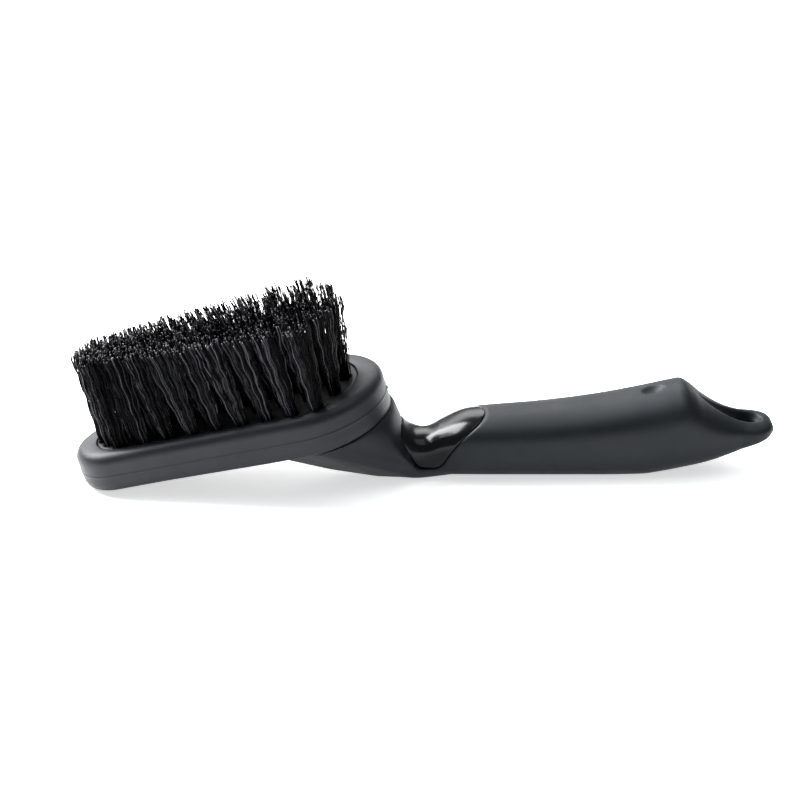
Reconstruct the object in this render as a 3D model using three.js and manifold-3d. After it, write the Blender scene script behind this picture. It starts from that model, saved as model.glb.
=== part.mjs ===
// Hand-held wheel brush: a tufted, pitched head, a slim waist and a thick overmoulded grip.
// Millimetres, +Z up. X runs from the front of the head (negative) to the butt of the grip (positive),
// and Y = 0 is the plane of symmetry. The brush is drawn with the underside of its grip level, and is
// tipped at the end onto the two places that it rests on: the head's front edge and a flat under the grip.

import * as THREE from "three";
import { ConvexGeometry } from "three/addons/geometries/ConvexGeometry.js";
import { mergeVertices } from "three/addons/utils/BufferGeometryUtils.js";
import Module from "manifold-3d";

const wasm = await Module();
wasm.setup();

const degree = Math.PI / 180;
const gap = 0.3; // clearance between pieces that meet
const cutter = { length: 400, width: 80, height: 40, past: 1 }; // blocks that cut, and how far they run past

// ---------------------------------------------------------------- driving dimensions

const head = {
  pitch: 15.7 * degree, // the rear of the head is the high end
  middle: [-74.3, 8.4], // x and z of the middle of the head's underside
  span: 72, // between the centres of the two round ends
  frontRadius: 16.2,
  rearRadius: 27.5,
  thickness: 15,
  edgeRadius: 3.8,
  rearSteps: 20,
  frontSteps: 14,
  edgeSteps: 4,
};

const block = {
  wall: 4, // bumper thickness outside the block
  skin: 2.5, // bumper thickness above and below the block's flange
  topLip: 4.8, // bumper's lip round the top of the block, at the sides
  topEndLip: 5.5, // the same at the two ends
  bottomLip: 7, // bumper's lip round the underside
  pegRadius: 3.5,
  pegLength: 6,
  pegSides: 16,
  pegs: [32, 47], // distances behind the middle of the head
};

const tuft = {
  rows: [9, 10, 11, 10, 9],
  rowEnds: [
    [-33.5, 40.5],
    [-37.5, 46.5],
    [-40.5, 50],
  ], // first and last tuft of the outer, the inner and the middle rows
  sideMargin: 7.6, // outer row to the edge of the head
  holeRadius: 2.3,
  holeDepth: 9,
  rootRise: 0.5, // height above the head at which a tuft starts to fan out
  frontLength: 35.5, // of the filaments above the head
  rearLength: 31.5,
  tipAlong: 3.6,
  tipFlare: 0.7, // share of the spread that is reached half way up
  tipGap: 0.25, // between the tips of neighbouring rows
  splay: 0.05, // outward shift of a tip, as a share of its distance from the middle row
  sides: 8,
};

// Lean of the tufts towards the front, in degrees from square to the head: [distance along the head, lean].
const leanAlong = [
  [-42, -5],
  [-20, 1],
  [5, 4],
  [30, 1],
  [50, -8],
];

// Handle outlines as [x, value]: the top and the underside on the centre line, and the half width.
const handleTop = [
  [-16, 21],
  [-12, 20.4],
  [-9, 17.6],
  [-6.5, 16],
  [-3, 15.2],
  [0, 15.5],
  [4.5, 18],
  [12.5, 21.6],
  [20, 22.6],
  [40, 24.2],
  [60, 26.8],
  [77, 30.2],
  [88, 32.8],
  [91.5, 33.3],
  [95, 31.2],
  [99, 27.7],
  [103.6, 24.6],
  [108.3, 22.3],
  [113, 21],
  [118, 20.3],
  [122.5, 19.6],
  [124.3, 18.6],
  [125, 17.2],
];
const handleUnderside = [
  [-16, 0.2],
  [-4, -0.9],
  [5, -0.6],
  [20, -0.3],
  [50, -0.2],
  [77, 0],
  [85, 1.2],
  [94, 3.2],
  [103.6, 6],
  [113, 9.4],
  [121.4, 13],
  [124, 15],
  [125, 16.6],
];
const handleHalfWidth = [
  [-16, 6],
  [-12, 6.2],
  [-8, 8],
  [-4, 9.3],
  [3, 10],
  [10, 12],
  [20, 13.2],
  [40, 14],
  [70, 15],
  [92, 15],
  [100, 14],
  [108, 11.6],
  [113, 10],
];
const butt = { centreX: 115, radius: 10, power: 2.5 }; // full, round end of the grip, seen from above

const section = { sides: 32, bottomPower: 2.8, topPower: 2.5, shoulder: 0.6, thinnest: 0.2 };
const gripRuns = [
  [-12, 20, 2],
  [24, 84, 6],
  [87, 120, 2],
  [121, 124.9, 0.8],
]; // [from, to, step] of the cross-sections, closer together where the outline turns

const neck = {
  rimInset: -0.5, // from the head's full outline, so the rim just shows
  rimFrontX: -44, // the rim narrows forwards of this
  footShare: 0.6, // inset of the narrow foot under the head, as a share of the front radius
  footFrontX: -60,
  // Half of the keel as [x, half width, z], from under the head to the waist.
  keel: [
    [-58, 4, 9.3],
    [-48, 6.5, 6.6],
    [-41, 7.5, 4.6],
    [-34, 8, 2.8],
    [-18, 8, 0.1],
    [-4, 7.2, -0.9],
    [0, 7.2, -0.9],
  ],
  crown: 0.3, // drop of the keel's centre line
  waist: [
    [0, 9.6, 4.5],
    [0, 7, 12],
  ],
};

// The window in the overmould where the core shows, seen from the side, as [x, z].
const window = [
  [-12.6, 30],
  [-12, 24.8],
  [-9, 16.8],
  [-6.3, 10.6],
  [-4, 4.9],
  [-2.2, 3.9],
  [3.5, 3.8],
  [5.6, 4.6],
  [8, 7],
  [10.4, 12.6],
  [12.6, 17],
  [15, 19.8],
  [18.5, 22.6],
  [20, 30],
];

const core = {
  saddleInset: 0.9, // the exposed saddle lies this far inside the overmould's surface
  saddleX: [-14, 23],
  saddleStep: 1.9,
  tangInset: 4.5,
  tangX: [16, 100],
  tangStep: 7,
  padRise: 2, // how far the pad runs up past the underside of the head, before it is cut there
  pad: [
    [-49, 6.5, 9],
    [-44, 8, 7.6],
    [-34, 10, 6],
    [-18, 9.5, 4],
    [-12.5, 5, 3],
  ], // inside the neck, as [x, half width, underside]
};

const hole = { x: 115, z: 15, radius: 3.8, sides: 24 };
const scoop = [
  [96.5, 0.2, 30.2],
  [100, 1.2, 27.4],
  [104, 2.2, 24.8],
  [108, 3.2, 22.7],
  [112, 4.1, 21.4],
  [116, 4.3, 20.8],
  [119, 3.4, 20.6],
  [120.4, 1.7, 20.6],
].map(([x, radius, z]) => ({ x, radius, z })); // round hollow that leads to the hang hole
const scoopSides = 16;
const dimple = { x: 80.3, length: 8.5, width: 7, depth: 1.5, bulge: 4, slopeReach: 3 };

const rest = { pitch: 1.55 * degree }; // tip of the grip that brings the head down to the table

// ---------------------------------------------------------------- materials

const plastic = (colour, roughness) =>
  new THREE.MeshStandardMaterial({ color: colour, roughness, metalness: 0 });
const glossPlastic = plastic(0x141416, 0.18);
const mouldedPlastic = plastic(0x1d1d20, 0.55);
const softTouch = plastic(0x232427, 0.75);
const bumperRubber = plastic(0x2b2c2e, 0.7);
const bristleNylon = plastic(0x08070b, 0.4);

// ---------------------------------------------------------------- geometry helpers

// A smooth value at x from a list of [x, value].
function along(list, x) {
  const last = list.length - 1;
  if (x <= list[0][0]) return list[0][1];
  if (x >= list[last][0]) return list[last][1];
  const i = list.findIndex((entry) => entry[0] > x) - 1;
  const slope = (k) => {
    const a = list[Math.max(k - 1, 0)];
    const b = list[Math.min(k + 1, last)];
    return (b[1] - a[1]) / (b[0] - a[0]);
  };
  const [x0, v0] = list[i];
  const [x1, v1] = list[i + 1];
  const step = x1 - x0;
  const t = (x - x0) / step;
  return (
    v0 * (2 * t ** 3 - 3 * t ** 2 + 1) +
    slope(i) * step * (t ** 3 - 2 * t ** 2 + t) +
    v1 * (3 * t ** 2 - 2 * t ** 3) +
    slope(i + 1) * step * (t ** 3 - t ** 2)
  );
}

// A closed surface through rings of equally many points, fanned shut at both ends.
// Each ring runs anticlockwise as seen from the next one.
function loft(rings) {
  const n = rings[0].length;
  const points = rings.flat();
  const middle = (ring) =>
    ring.reduce((sum, p) => sum.add(p), new THREE.Vector3()).divideScalar(n);
  const start = points.push(middle(rings[0])) - 1;
  const end = points.push(middle(rings.at(-1))) - 1;
  const faces = [];
  for (let i = 0; i < n; i++) {
    const j = (i + 1) % n;
    const top = (rings.length - 1) * n;
    faces.push(start, j, i, end, top + i, top + j);
    for (let row = 0; row < top; row += n) {
      faces.push(row + i, row + j, row + n + j);
      faces.push(row + i, row + n + j, row + n + i);
    }
  }
  const geometry = new THREE.BufferGeometry().setFromPoints(points);
  geometry.setIndex(faces);
  return geometry;
}

function solid(geometry) {
  const bare = geometry.clone();
  bare.deleteAttribute("normal");
  bare.deleteAttribute("uv");
  const merged = mergeVertices(bare, 1e-4);
  return new wasm.Manifold(
    new wasm.Mesh({
      numProp: 3,
      vertProperties: merged.attributes.position.array,
      triVerts: new Uint32Array(merged.index.array),
    }),
  );
}

function piece(name, shape, material) {
  let geometry = shape;
  if (!shape.isBufferGeometry) {
    const mesh = shape.getMesh();
    geometry = new THREE.BufferGeometry();
    geometry.setAttribute(
      "position",
      new THREE.BufferAttribute(mesh.vertProperties, 3),
    );
    geometry.setIndex(new THREE.BufferAttribute(mesh.triVerts, 1));
  }
  geometry.computeVertexNormals();
  const mesh = new THREE.Mesh(geometry, material);
  mesh.name = name;
  return mesh;
}

// An outline in the XZ plane, made a slab that reaches past the handle on both sides.
function sideSlab(outline) {
  const depth = cutter.width;
  const shape = new THREE.Shape(outline.map(([x, z]) => new THREE.Vector2(x, z)));
  const slab = new THREE.ExtrudeGeometry(shape, { depth, bevelEnabled: false });
  slab.rotateX(Math.PI / 2);
  slab.translate(0, depth / 2, 0);
  return slab;
}

// ---------------------------------------------------------------- head

const headMatrix = new THREE.Matrix4()
  .makeRotationY(-head.pitch)
  .setPosition(head.middle[0], 0, head.middle[1]);

// Points around the head at height z, inset from its full outline at the sides and at the two ends.
function headRing(z, inset, endInset = inset) {
  const shift = endInset - inset;
  const taper = Math.asin((head.rearRadius - head.frontRadius) / head.span);
  const wide = Math.PI / 2 + taper;
  const ends = [
    [head.span / 2 - shift, head.rearRadius - inset, -wide, wide, head.rearSteps],
    [shift - head.span / 2, head.frontRadius - inset, wide, 2 * Math.PI - wide, head.frontSteps],
  ];
  return ends.flatMap(([centre, radius, from, to, steps]) =>
    Array.from({ length: steps + 1 }, (_, k) => {
      const angle = from + ((to - from) * k) / steps;
      return new THREE.Vector3(
        centre + radius * Math.cos(angle),
        radius * Math.sin(angle),
        z,
      );
    }),
  );
}

// Half the head's width at a distance along it.
function headHalfWidth(u) {
  const slope = (head.rearRadius - head.frontRadius) / head.span;
  const side = (head.rearRadius + head.frontRadius) / 2 / Math.cos(Math.asin(slope));
  const rear = Math.max(head.rearRadius ** 2 - (u - head.span / 2) ** 2, 0) ** 0.5;
  const front = Math.max(head.frontRadius ** 2 - (u + head.span / 2) ** 2, 0) ** 0.5;
  if (u > head.span / 2) return rear;
  return u < -head.span / 2 ? front : side + slope * u;
}

function headPlate() {
  const steps = head.edgeSteps;
  const rings = [];
  for (let k = 0; k <= steps; k++) {
    const angle = (k / steps) * (Math.PI / 2);
    rings.push([
      head.edgeRadius * (1 - Math.cos(angle)),
      head.edgeRadius * (1 - Math.sin(angle)),
    ]);
  }
  const upper = rings.map(([z, inset]) => [head.thickness - z, inset]).reverse();
  return solid(loft([...rings, ...upper].map(([z, inset]) => headRing(z, inset))));
}

// The flange, the island that the tufts stand in and the panel on the underside, grown by a clearance.
function blockShape(grow) {
  const layer = (z0, z1, inset, endInset) =>
    solid(loft([headRing(z0, inset, endInset), headRing(z1, inset, endInset)]));
  const past = grow ? cutter.past : 0;
  const flangeTop = head.thickness - block.skin + grow;
  const flange = layer(block.skin - grow, flangeTop, block.wall - grow);
  const island = layer(
    block.skin,
    head.thickness + past,
    block.topLip - grow,
    block.topEndLip - grow,
  );
  return flange
    .add(island)
    .add(layer(-past, head.thickness / 2, block.bottomLip - grow));
}

function peg(u, radius, length) {
  const post = new THREE.CylinderGeometry(radius, radius, length + block.skin, block.pegSides);
  post.rotateX(Math.PI / 2);
  post.translate(u, 0, (block.skin - length) / 2);
  return post;
}

// Places of the tufts: u along the head, v across it, and the room to the next row.
function tuftPlaces() {
  const places = [];
  const middleRow = (tuft.rows.length - 1) / 2;
  tuft.rows.forEach((count, row) => {
    const fromMiddle = row - middleRow;
    const [first, last] = tuft.rowEnds[middleRow - Math.abs(fromMiddle)];
    for (let k = 0; k < count; k++) {
      const u = first + ((last - first) * k) / (count - 1);
      const clamped = THREE.MathUtils.clamp(u, tuft.rowEnds[0][0], tuft.rowEnds[0][1]);
      const rowStep = (headHalfWidth(clamped) - tuft.sideMargin) / middleRow;
      places.push({ row, k, u, v: fromMiddle * rowStep, rowStep });
    }
  });
  return places;
}

function ellipse(x, y, z, rx, ry, sides) {
  return Array.from({ length: sides }, (_, k) => {
    const angle = ((k + 0.5) / sides) * 2 * Math.PI;
    return new THREE.Vector3(x + rx * Math.cos(angle), y + ry * Math.sin(angle), z);
  });
}

function tuftHole({ u, v }) {
  const { holeRadius, holeDepth, sides } = tuft;
  const ring = (z) => ellipse(u, v, z, holeRadius, holeRadius, sides);
  return solid(loft([ring(head.thickness - holeDepth), ring(head.thickness + cutter.past)]));
}

// One bundle of filaments: round in its hole, and fanning out and leaning above it.
function tuftBundle({ u, v, rowStep }) {
  const rootRadius = tuft.holeRadius - gap;
  const [firstU, lastU] = tuft.rowEnds.at(-1);
  const share = (u - firstU) / (lastU - firstU);
  const length = THREE.MathUtils.lerp(tuft.frontLength, tuft.rearLength, share);
  const lean = Math.tan(along(leanAlong, u) * degree) * length;
  const tipAcross = rowStep / 2 - tuft.tipGap;
  const rootZ = head.thickness - tuft.holeDepth + gap;
  const ring = (z, rise, spread) =>
    ellipse(
      u - lean * rise,
      v * (1 + tuft.splay * rise),
      z,
      THREE.MathUtils.lerp(rootRadius, tuft.tipAlong, spread),
      THREE.MathUtils.lerp(rootRadius, tipAcross, spread),
      tuft.sides,
    );
  return loft([
    ring(rootZ, 0, 0),
    ring(head.thickness + tuft.rootRise, 0, 0),
    ring(head.thickness + length / 2, 0.5, tuft.tipFlare),
    ring(head.thickness + length, 1, 1),
  ]);
}

const plate = headPlate();

// Height of the table under the tipped brush, which is the height of the head's lowest point.
function tableHeight() {
  const { vertProperties } = plate.getMesh();
  const points = new THREE.BufferAttribute(vertProperties, 3);
  const tip = new THREE.Matrix4().makeRotationY(rest.pitch).multiply(headMatrix);
  const p = new THREE.Vector3();
  let lowest = Infinity;
  for (let i = 0; i < points.count; i++) {
    lowest = Math.min(lowest, p.fromBufferAttribute(points, i).applyMatrix4(tip).z);
  }
  return lowest;
}

function makeHead() {
  const group = new THREE.Group();
  group.applyMatrix4(headMatrix);
  const places = tuftPlaces();
  let carrier = blockShape(0);
  for (const u of block.pegs) {
    carrier = carrier.add(solid(peg(u, block.pegRadius, block.pegLength)));
  }
  for (const place of places) carrier = carrier.subtract(tuftHole(place));
  const bumper = plate.subtract(blockShape(gap));
  group.add(piece("head_block", carrier, mouldedPlastic));
  group.add(piece("head_bumper", bumper, bumperRubber));
  for (const place of places) {
    const name = `tuft_row${place.row + 1}_${String(place.k + 1).padStart(2, "0")}`;
    group.add(piece(name, tuftBundle(place), bristleNylon));
  }
  return group;
}

// ---------------------------------------------------------------- handle

function halfWidthAt(x) {
  const plan = along(handleHalfWidth, x);
  if (x <= butt.centreX) return plan;
  const { centreX, radius, power } = butt;
  const past = Math.min((x - centreX) / radius, 1) ** power;
  return Math.max(radius * (1 - past) ** (1 / power), section.thinnest);
}

// A cross-section of the handle: full sides, a crowned top and an underside that curves under.
function handleSection(x, inset = 0) {
  const top = along(handleTop, x) - inset;
  const bottom = along(handleUnderside, x) + inset;
  const width = Math.max(halfWidthAt(x) - inset, section.thinnest);
  const shoulder = THREE.MathUtils.lerp(bottom, top, section.shoulder);
  return Array.from({ length: section.sides }, (_, k) => {
    const angle = (k / section.sides) * 2 * Math.PI;
    const across = Math.cos(angle);
    const up = Math.sin(angle);
    const power = 2 / (up > 0 ? section.topPower : section.bottomPower);
    const rise = up > 0 ? top - shoulder : shoulder - bottom;
    return new THREE.Vector3(
      x,
      width * Math.sign(across) * Math.abs(across) ** power,
      shoulder + rise * Math.sign(up) * Math.abs(up) ** power,
    );
  });
}

function handleLoft(from, to, step, inset = 0) {
  const count = Math.ceil((to - from) / step);
  const rings = [];
  for (let k = 0; k <= count; k++) {
    rings.push(handleSection(from + ((to - from) * k) / count, inset));
  }
  return rings;
}

function gripBody() {
  const rings = gripRuns.flatMap(([from, to, step]) => handleLoft(from, to, step));
  return solid(loft(rings));
}

// The flared part of the neck that the rear of the head sits on.
function neckBody() {
  const rim = headRing(-gap, neck.rimInset)
    .map((p) => p.applyMatrix4(headMatrix))
    .filter((p) => p.x > neck.rimFrontX);
  const front = headRing(-gap, head.frontRadius * neck.footShare)
    .map((p) => p.applyMatrix4(headMatrix))
    .filter((p) => p.x > neck.footFrontX);
  const mirrored = [...neck.keel, ...neck.waist].flatMap(([x, y, z]) => [
    new THREE.Vector3(x, y, z),
    new THREE.Vector3(x, -y, z),
  ]);
  const centre = neck.keel.map(
    ([x, , z]) => new THREE.Vector3(x, 0, z - neck.crown),
  );
  return solid(new ConvexGeometry([...rim, ...front, ...mirrored, ...centre]));
}

// Everything above the head's underside, so that the handle stops just short of it.
function aboveNeck() {
  const slab = new THREE.BoxGeometry(cutter.length, cutter.width, cutter.height);
  slab.translate(0, 0, cutter.height / 2 - gap);
  slab.applyMatrix4(headMatrix);
  return solid(slab);
}

function belowTable() {
  const slab = new THREE.BoxGeometry(cutter.length, cutter.width, cutter.height);
  slab.translate(0, 0, tableHeight() - cutter.height / 2);
  slab.rotateY(-rest.pitch);
  return solid(slab);
}

function padBody(grow) {
  const plane = (x) =>
    head.middle[1] + (x - head.middle[0]) * Math.tan(head.pitch) + core.padRise;
  const last = core.pad.length - 1;
  const rings = core.pad.map(([x, halfWidth, underside], k) => {
    const shift = (k === last) * grow - (k === 0) * grow;
    const w = halfWidth + grow;
    return [
      new THREE.Vector3(x + shift, w, underside - grow),
      new THREE.Vector3(x + shift, w, plane(x)),
      new THREE.Vector3(x + shift, -w, plane(x)),
      new THREE.Vector3(x + shift, -w, underside - grow),
    ];
  });
  return solid(loft(rings));
}

// The waist that shows in the window, the tang in the grip and the pad under the head, in one.
function coreBody(grow) {
  const run = ([from, to], step, inset) => {
    const rings = handleLoft(from, to, step, inset - grow);
    for (const p of rings[0]) p.x -= grow;
    for (const p of rings.at(-1)) p.x += grow;
    return solid(loft(rings));
  };
  const tang = run(core.tangX, core.tangStep, core.tangInset);
  return run(core.saddleX, core.saddleStep, core.saddleInset).add(tang).add(padBody(grow));
}

function scoopBody() {
  const rings = scoop.map(({ x, radius, z }) =>
    ellipse(0, 0, 0, radius, radius, scoopSides).map((p) =>
      new THREE.Vector3(x, p.x, z + p.y),
    ),
  );
  return solid(loft(rings));
}

function hangHole() {
  const drill = new THREE.CylinderGeometry(hole.radius, hole.radius, cutter.height, hole.sides);
  drill.rotateX(Math.PI / 2);
  drill.translate(hole.x, 0, hole.z);
  return solid(drill);
}

// A shallow blank oval on the crest of the grip.
function crestDimple() {
  const { x, length, width, depth, bulge, slopeReach } = dimple;
  const share = Math.sqrt(1 - (1 - depth / bulge) ** 2); // of the oval's width, where the surface cuts it
  const rise = along(handleTop, x + slopeReach) - along(handleTop, x - slopeReach);
  const oval = new THREE.SphereGeometry(1, 20, 12);
  oval.scale(length / 2 / share, width / 2 / share, bulge);
  oval.rotateY(-Math.atan2(rise, 2 * slopeReach));
  oval.translate(x, 0, along(handleTop, x) + bulge - depth);
  return solid(oval);
}

function makeHandle() {
  const group = new THREE.Group();
  const above = aboveNeck();
  const skin = neckBody()
    .add(gripBody())
    .subtract(solid(sideSlab(window)))
    .subtract(above)
    .subtract(coreBody(gap))
    .subtract(scoopBody())
    .subtract(hangHole())
    .subtract(crestDimple())
    .subtract(belowTable());
  let spine = coreBody(0).subtract(above);
  for (const u of block.pegs) {
    const socket = peg(u, block.pegRadius + gap, block.pegLength + gap);
    spine = spine.subtract(solid(socket.applyMatrix4(headMatrix)));
  }
  group.add(piece("handle_overmould", skin, softTouch));
  group.add(piece("handle_core", spine, glossPlastic));
  return group;
}

// ---------------------------------------------------------------- the brush

const brush = new THREE.Group();
const tipped = new THREE.Group();
tipped.add(makeHead(), makeHandle());
tipped.rotation.y = rest.pitch;
brush.add(tipped);
brush.updateMatrixWorld(true);
const box = new THREE.Box3().setFromObject(brush, true);
const centre = box.getCenter(new THREE.Vector3());
tipped.position.set(-centre.x, -centre.y, -box.min.z);

export default brush;
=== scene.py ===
# A wheel brush lying on its back: a tufted head in a rubbery bumper, a glossy waist, a soft-touch grip.
import math

import bmesh
import bpy
import numpy as np
from mathutils import Matrix, Vector


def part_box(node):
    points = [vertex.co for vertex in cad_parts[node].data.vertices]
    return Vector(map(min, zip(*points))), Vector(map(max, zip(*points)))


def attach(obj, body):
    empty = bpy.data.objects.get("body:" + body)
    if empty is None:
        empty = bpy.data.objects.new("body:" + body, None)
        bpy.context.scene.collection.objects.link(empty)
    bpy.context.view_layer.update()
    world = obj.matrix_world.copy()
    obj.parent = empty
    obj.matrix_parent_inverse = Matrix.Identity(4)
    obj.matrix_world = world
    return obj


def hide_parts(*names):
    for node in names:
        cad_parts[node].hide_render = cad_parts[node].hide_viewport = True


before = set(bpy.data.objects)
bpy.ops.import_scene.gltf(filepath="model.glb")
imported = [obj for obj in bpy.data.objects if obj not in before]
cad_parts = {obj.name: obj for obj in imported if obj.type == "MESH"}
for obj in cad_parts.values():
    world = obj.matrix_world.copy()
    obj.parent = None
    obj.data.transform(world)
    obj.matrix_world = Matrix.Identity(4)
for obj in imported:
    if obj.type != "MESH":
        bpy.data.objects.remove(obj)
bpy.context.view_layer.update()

mm = 0.001


# nodes, colours and meshes

def addNode(tree, kind, settings=None, inputs=None):
    node = tree.nodes.new(kind)
    for name, value in (settings or {}).items():
        setattr(node, name, value)
    for key, value in (inputs or {}).items():
        if isinstance(key, int):
            socket = node.inputs[key]
        else:
            socket = next(s for s in node.inputs if s.name == key and s.enabled)
        if isinstance(value, bpy.types.NodeSocket):
            tree.links.new(value, socket)
        else:
            socket.default_value = value
    return node


def colour(hexCode):
    # an sRGB hex value as the linear colour that the shader works in
    channels = [int(hexCode[k:k + 2], 16) / 255 for k in (1, 3, 5)]
    return [c / 12.92 if c < 0.04045 else ((c + 0.055) / 1.055) ** 2.4 for c in channels] + [1.0]


def makeObject(name, mesh, material):
    mesh.name = name
    piece = bpy.data.objects.new(name, mesh)
    bpy.context.scene.collection.objects.link(piece)
    mesh.materials.clear()
    mesh.materials.append(material)
    return piece


def meshFrom(points, faces, matrix):
    mesh = bpy.data.meshes.new("shape")
    mesh.from_pydata([tuple(p) for p in points], [], [tuple(f) for f in faces])
    mesh.transform(matrix)
    mesh.shade_smooth()
    return mesh


def faceOutwards(mesh):
    shape = bmesh.new()
    shape.from_mesh(mesh)
    bmesh.ops.remove_doubles(shape, verts=shape.verts, dist=1e-7)
    bmesh.ops.recalc_face_normals(shape, faces=shape.faces)
    shape.to_mesh(mesh)
    shape.free()


# materials

def mouldedPolymer(name, look):
    # A moulded black polymer. The grain of the mould breaks up the sheen, the mottle is the uneven way
    # a handled surface takes light, and the scuffs are short dull streaks of use. Real mould grain is too
    # fine to show, so it is drawn coarser.
    material = bpy.data.materials.new(name)
    material.use_nodes = True
    tree = material.node_tree
    shader = tree.nodes["Principled BSDF"]
    place = addNode(tree, "ShaderNodeTexCoord").outputs["Object"]
    grain = addNode(tree, "ShaderNodeTexNoise", inputs={
        "Vector": place, "Scale": 1 / (look["grain"] * mm), "Detail": 3.0, "Roughness": 0.6})
    mottle = addNode(tree, "ShaderNodeTexNoise", inputs={
        "Vector": place, "Scale": 1 / (look["mottle"] * mm), "Detail": 5.0, "Roughness": 0.62})
    stretch = addNode(tree, "ShaderNodeMapping", inputs={
        "Vector": place, "Rotation": (0, 0, math.radians(24)), "Scale": (1, 7, 3)})
    scuff = addNode(tree, "ShaderNodeTexNoise", inputs={
        "Vector": stretch.outputs[0], "Scale": 1 / (look["scuff"] * mm), "Detail": 6.0, "Roughness": 0.7})
    scuffMask = addNode(tree, "ShaderNodeMapRange", inputs={
        "Value": scuff.outputs["Fac"], "From Min": 0.62, "From Max": 0.78, "To Min": 0.0, "To Max": 1.0})
    tint = addNode(tree, "ShaderNodeMix", {"data_type": "RGBA"}, {
        "Factor": mottle.outputs["Fac"], "A": colour(look["dark"]), "B": colour(look["light"])})
    worn = addNode(tree, "ShaderNodeMath", {"operation": "MULTIPLY"}, {
        0: scuffMask.outputs[0], 1: look["wear"]})
    base = addNode(tree, "ShaderNodeMix", {"data_type": "RGBA"}, {
        "Factor": worn.outputs[0], "A": tint.outputs["Result"], "B": colour(look["worn"])})
    tree.links.new(base.outputs["Result"], shader.inputs["Base Color"])
    low, high = look["roughness"]
    rough = addNode(tree, "ShaderNodeMapRange", inputs={
        "Value": mottle.outputs["Fac"], "From Min": 0.3, "From Max": 0.7, "To Min": low, "To Max": high})
    rougher = addNode(tree, "ShaderNodeMath", {"operation": "MULTIPLY_ADD", "use_clamp": True}, {
        0: scuffMask.outputs[0], 1: look["wear"] * 0.35, 2: rough.outputs[0]})
    tree.links.new(rougher.outputs[0], shader.inputs["Roughness"])
    bump = addNode(tree, "ShaderNodeBump", inputs={
        "Strength": look["bump"], "Distance": look["grain"] * mm * 0.5, "Height": grain.outputs["Fac"]})
    tree.links.new(bump.outputs[0], shader.inputs["Normal"])
    shader.inputs["IOR"].default_value = look["ior"]
    shader.inputs["Specular IOR Level"].default_value = look["specular"]
    shader.inputs["Specular Tint"].default_value = look["specularTint"]
    return material


# Thermoplastic rubber over the edge of the head: a dry blue-black, with a soft glow where it rounds over.
bumperRubber = mouldedPolymer("moulded thermoplastic rubber, fine spark finish", {
    "dark": "#090b0e", "light": "#101317", "worn": "#1e2227", "grain": 0.45, "mottle": 14, "scuff": 9,
    "wear": 0.4, "roughness": (0.42, 0.54), "bump": 0.3, "ior": 1.5, "specular": 0.27,
    "specularTint": (0.91, 0.94, 1, 1)})
# Soft-touch overmoulding: velvety, so its highlights are wide and low.
gripRubber = mouldedPolymer("overmoulded soft-touch elastomer, velvet finish", {
    "dark": "#06090c", "light": "#0a0f13", "worn": "#161c21", "grain": 0.35, "mottle": 18, "scuff": 12,
    "wear": 0.35, "roughness": (0.48, 0.6), "bump": 0.25, "ior": 1.49, "specular": 0.25,
    "specularTint": (0.88, 0.93, 1, 1)})
# Polished polypropylene core: a wet black that mirrors the light where it dips at the waist.
corePlastic = mouldedPolymer("moulded polypropylene, polished mould", {
    "dark": "#040506", "light": "#08090a", "worn": "#121315", "grain": 0.9, "mottle": 9, "scuff": 7,
    "wear": 0.25, "roughness": (0.17, 0.24), "bump": 0.03, "ior": 1.49, "specular": 0.18,
    "specularTint": (0.94, 0.97, 1, 1)})
# Drilled polypropylene block: dull from the drill, and nearly black, its own black deepened as painted shade
# for the shaded bed between the tufts.
blockPlastic = mouldedPolymer("moulded polypropylene, drilled", {
    "dark": "#040405", "light": "#0a0a0b", "worn": "#17171a", "grain": 0.5, "mottle": 6, "scuff": 5,
    "wear": 0.5, "roughness": (0.4, 0.55), "bump": 0.25, "ior": 1.49, "specular": 0.2,
    "specularTint": (1, 1, 1, 1)})


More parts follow.
